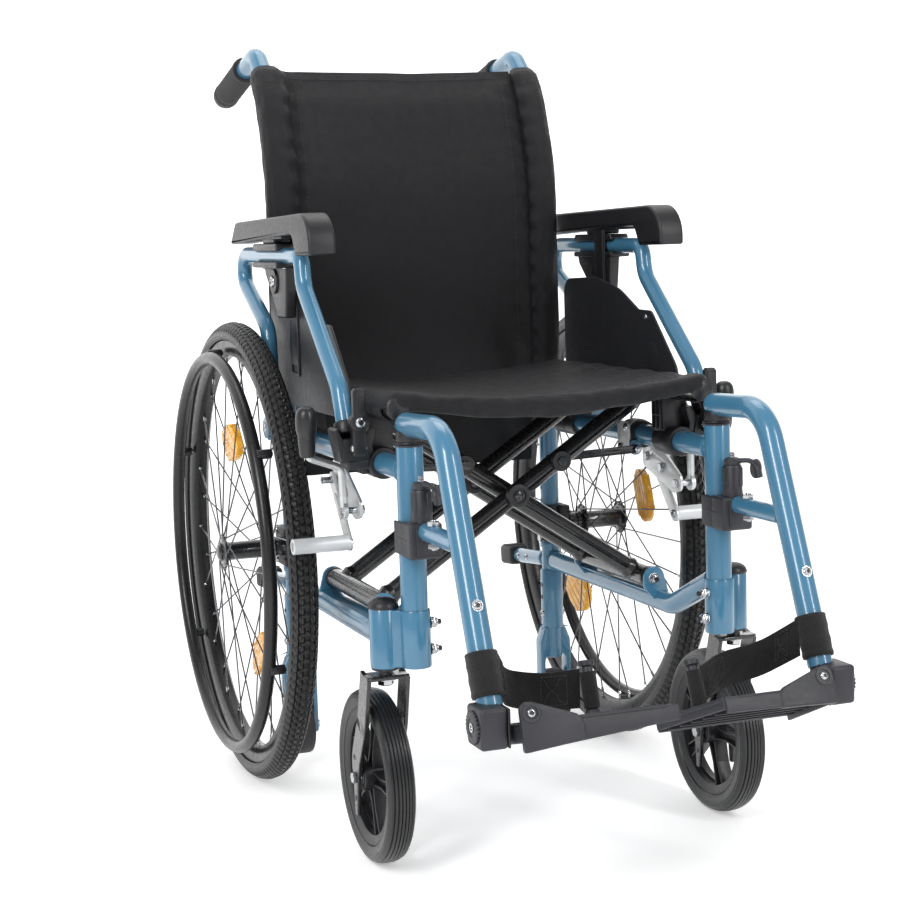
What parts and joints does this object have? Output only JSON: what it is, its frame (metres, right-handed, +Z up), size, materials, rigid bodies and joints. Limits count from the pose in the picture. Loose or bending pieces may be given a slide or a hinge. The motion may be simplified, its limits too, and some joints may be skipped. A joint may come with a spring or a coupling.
{
  "type": "folding wheelchair",
  "caption": "Folding manual wheelchair with sling seat, spoked rear wheels with handrims, front casters, flip-back armrests and swing-away footrests.",
  "frame": {"origin": "on the floor under the middle of the chair's box", "axes": "+Z up; the chair faces -Y; +X is the occupant's left"},
  "size_m": [0.608, 1.0679, 0.9762],
  "materials": {
    "paint": "gloss blue powder coat",
    "black_metal": "gloss black",
    "plastic": "fine-grained charcoal moulding",
    "rubber": "matt",
    "tyre": "matt",
    "zinc": "zinc plated",
    "nylon": "coated woven nylon",
    "pad": "integral-skin foam"
  },
  "bodies": {
    "frame_r": {"side_frame_r": "paint", "lower_rail_r": "paint", "back_post_r": "paint", "push_grip_r": "rubber", "step_cap_r": "rubber", "caster_housing_r": "paint", "axle_bracket_r": "black_metal", "brake_bracket_r": "zinc", "back_sling": "nylon"},
    "frame_l": {"side_frame_l": "paint", "lower_rail_l": "paint", "back_post_l": "paint", "push_grip_l": "rubber", "step_cap_l": "rubber", "caster_housing_l": "paint", "axle_bracket_l": "black_metal", "brake_bracket_l": "zinc"},
    "brace_r": {"brace_r": "black_metal"},
    "brace_l": {"brace_l": "black_metal"},
    "seat": {"seat_sling": "nylon"},
    "link_r": {"link_r": "black_metal"},
    "wheel_r": {"rear_tyre_r": "tyre", "rear_rim_r": "black_metal", "rear_hub_r": "black_metal", "handrim_r": "black_metal"},
    "caster_fork_r": {"caster_fork_r": "black_metal"},
    "caster_wheel_r": {"caster_tyre_r": "tyre", "caster_rim_r": "plastic"},
    "roller_r": {"transit_wheel_r": "rubber"},
    "armrest_r": {"armrest_frame_r": "paint", "side_guard_r": "plastic"},
    "pad_r": {"arm_pad_r": "pad"},
    "latch_r": {"arm_latch_r": "plastic"},
    "brake_r": {"brake_lever_r": "zinc"},
    "shoe_r": {"brake_shoe_r": "zinc"},
    "hanger_r": {"hanger_r": "paint", "hanger_clamp_r": "plastic", "heel_strap_r": "nylon"},
    "wing_r": {"hanger_lever_r": "plastic"},
    "foot_r": {"footplate_r": "plastic"},
    "link_l": {"link_l": "black_metal"},
    "wheel_l": {"rear_tyre_l": "tyre", "rear_rim_l": "black_metal", "rear_hub_l": "black_metal", "handrim_l": "black_metal"},
    "caster_fork_l": {"caster_fork_l": "black_metal"},
    "caster_wheel_l": {"caster_tyre_l": "tyre", "caster_rim_l": "plastic"},
    "roller_l": {"transit_wheel_l": "rubber"},
    "armrest_l": {"armrest_frame_l": "paint", "side_guard_l": "plastic"},
    "pad_l": {"arm_pad_l": "pad"},
    "latch_l": {"arm_latch_l": "plastic"},
    "brake_l": {"brake_lever_l": "zinc"},
    "shoe_l": {"brake_shoe_l": "zinc"},
    "hanger_l": {"hanger_l": "paint", "hanger_clamp_l": "plastic", "heel_strap_l": "nylon"},
    "wing_l": {"hanger_lever_l": "plastic"},
    "foot_l": {"footplate_l": "plastic"}
  },
  "joints": [
    {"name": "fold", "type": "hinge", "parent": "frame_r", "child": "brace_r", "pos_m": [-0.176, -0.0198, 0.28], "axis": [0, -1, 0], "range_deg": [0, 42], "deforming": ["seat_sling", "back_sling", "heel_strap_r", "heel_strap_l"]},
    {"name": "brace_cross", "type": "hinge", "parent": "brace_r", "child": "brace_l", "pos_m": [0, -0.0198, 0.39649], "axis": [0, -1, 0], "range_deg": [-84, 0]},
    {"name": "frame_l_pivot", "type": "hinge", "parent": "brace_l", "child": "frame_l", "pos_m": [0.176, -0.0198, 0.28], "axis": [0, -1, 0], "range_deg": [0, 42]},
    {"name": "seat_pivot", "type": "hinge", "parent": "brace_r", "child": "seat", "pos_m": [0.19, -0.0198, 0.52225], "axis": [0, -1, 0], "range_deg": [-42, 0]},
    {"name": "link_pivot_r", "type": "hinge", "parent": "frame_r", "child": "link_r", "pos_m": [-0.176, -0.0198, 0.439], "axis": [0, -1, 0], "range_deg": [0, 75]},
    {"name": "wheel_spin_r", "type": "hinge", "parent": "frame_r", "child": "wheel_r", "pos_m": [-0.2623, 0.2252, 0.305], "axis": [1, 0, 0], "continuous": true},
    {"name": "caster_swivel_r", "type": "hinge", "parent": "frame_r", "child": "caster_fork_r", "pos_m": [-0.2195, -0.2338, 0.23], "axis": [0, 0, 1], "continuous": true},
    {"name": "caster_spin_r", "type": "hinge", "parent": "caster_fork_r", "child": "caster_wheel_r", "pos_m": [-0.2195, -0.1858, 0.1], "axis": [1, 0, 0], "continuous": true},
    {"name": "roller_spin_r", "type": "hinge", "parent": "frame_r", "child": "roller_r", "pos_m": [-0.19, 0.2422, 0.052], "axis": [1, 0, 0], "continuous": true},
    {"name": "armrest_flip_r", "type": "hinge", "parent": "frame_r", "child": "armrest_r", "pos_m": [-0.229, 0.1682, 0.472], "axis": [-1, 0, 0], "range_deg": [0, 90]},
    {"name": "pad_height_r", "type": "slide", "parent": "armrest_r", "child": "pad_r", "axis": [0, 0, 1], "range_m": [0, 0.06]},
    {"name": "armrest_latch_r", "type": "hinge", "parent": "frame_r", "child": "latch_r", "pos_m": [-0.222, -0.1743, 0.474], "axis": [1, 0, 0], "range_deg": [0, 25]},
    {"name": "brake_lever_r", "type": "hinge", "parent": "frame_r", "child": "brake_r", "pos_m": [-0.226, -0.1198, 0.398], "axis": [1, 0, 0], "range_deg": [0, 50]},
    {"name": "brake_shoe_r", "type": "hinge", "parent": "frame_r", "child": "shoe_r", "pos_m": [-0.215, -0.0398, 0.425], "axis": [1, 0, 0], "range_deg": [0, 9.1]},
    {"name": "footrest_swing_r", "type": "hinge", "parent": "frame_r", "child": "hanger_r", "pos_m": [-0.19, -0.2548, 0.49], "axis": [0, 0, -1], "range_deg": [0, 90]},
    {"name": "release_lever_r", "type": "hinge", "parent": "hanger_r", "child": "wing_r", "pos_m": [-0.19, -0.2898, 0.444], "axis": [0, 0, 1], "range_deg": [0, 60]},
    {"name": "footplate_flip_r", "type": "hinge", "parent": "hanger_r", "child": "foot_r", "pos_m": [-0.179, -0.5158, 0.241], "axis": [0, -0.9613, 0.2756], "range_deg": [0, 90]},
    {"name": "link_pivot_l", "type": "hinge", "parent": "frame_l", "child": "link_l", "pos_m": [0.176, -0.0198, 0.439], "axis": [0, -1, 0], "range_deg": [-75, 0]},
    {"name": "wheel_spin_l", "type": "hinge", "parent": "frame_l", "child": "wheel_l", "pos_m": [0.2623, 0.2252, 0.305], "axis": [1, 0, 0], "continuous": true},
    {"name": "caster_swivel_l", "type": "hinge", "parent": "frame_l", "child": "caster_fork_l", "pos_m": [0.2195, -0.2338, 0.23], "axis": [0, 0, 1], "continuous": true},
    {"name": "caster_spin_l", "type": "hinge", "parent": "caster_fork_l", "child": "caster_wheel_l", "pos_m": [0.2195, -0.1858, 0.1], "axis": [1, 0, 0], "continuous": true},
    {"name": "roller_spin_l", "type": "hinge", "parent": "frame_l", "child": "roller_l", "pos_m": [0.19, 0.2422, 0.052], "axis": [1, 0, 0], "continuous": true},
    {"name": "armrest_flip_l", "type": "hinge", "parent": "frame_l", "child": "armrest_l", "pos_m": [0.229, 0.1682, 0.472], "axis": [-1, 0, 0], "range_deg": [0, 90]},
    {"name": "pad_height_l", "type": "slide", "parent": "armrest_l", "child": "pad_l", "axis": [0, 0, 1], "range_m": [0, 0.06]},
    {"name": "armrest_latch_l", "type": "hinge", "parent": "frame_l", "child": "latch_l", "pos_m": [0.222, -0.1743, 0.474], "axis": [1, 0, 0], "range_deg": [0, 25]},
    {"name": "brake_lever_l", "type": "hinge", "parent": "frame_l", "child": "brake_l", "pos_m": [0.226, -0.1198, 0.398], "axis": [1, 0, 0], "range_deg": [0, 50]},
    {"name": "brake_shoe_l", "type": "hinge", "parent": "frame_l", "child": "shoe_l", "pos_m": [0.215, -0.0398, 0.425], "axis": [1, 0, 0], "range_deg": [0, 9.1]},
    {"name": "footrest_swing_l", "type": "hinge", "parent": "frame_l", "child": "hanger_l", "pos_m": [0.19, -0.2548, 0.49], "axis": [0, 0, 1], "range_deg": [0, 90]},
    {"name": "release_lever_l", "type": "hinge", "parent": "hanger_l", "child": "wing_l", "pos_m": [0.19, -0.2898, 0.444], "axis": [0, 0, -1], "range_deg": [0, 60]},
    {"name": "footplate_flip_l", "type": "hinge", "parent": "hanger_l", "child": "foot_l", "pos_m": [0.179, -0.5158, 0.241], "axis": [0, 0.9135, -0.4067], "range_deg": [0, 90]}
  ],
  "couplings": [
    {"joint": "brace_cross", "follows": "fold", "ratio": -2},
    {"joint": "frame_l_pivot", "follows": "fold", "ratio": 1},
    {"joint": "seat_pivot", "follows": "fold", "ratio": -1},
    {"joint": "link_pivot_r", "follows": "fold", "ratio": 1.776},
    {"joint": "brake_shoe_r", "follows": "brake_lever_r", "ratio": 0.18},
    {"joint": "footplate_flip_r", "follows": "fold", "ratio": 2.142},
    {"joint": "link_pivot_l", "follows": "fold", "ratio": -1.776},
    {"joint": "brake_shoe_l", "follows": "brake_lever_l", "ratio": 0.18},
    {"joint": "footplate_flip_l", "follows": "fold", "ratio": 2.142}
  ]
}
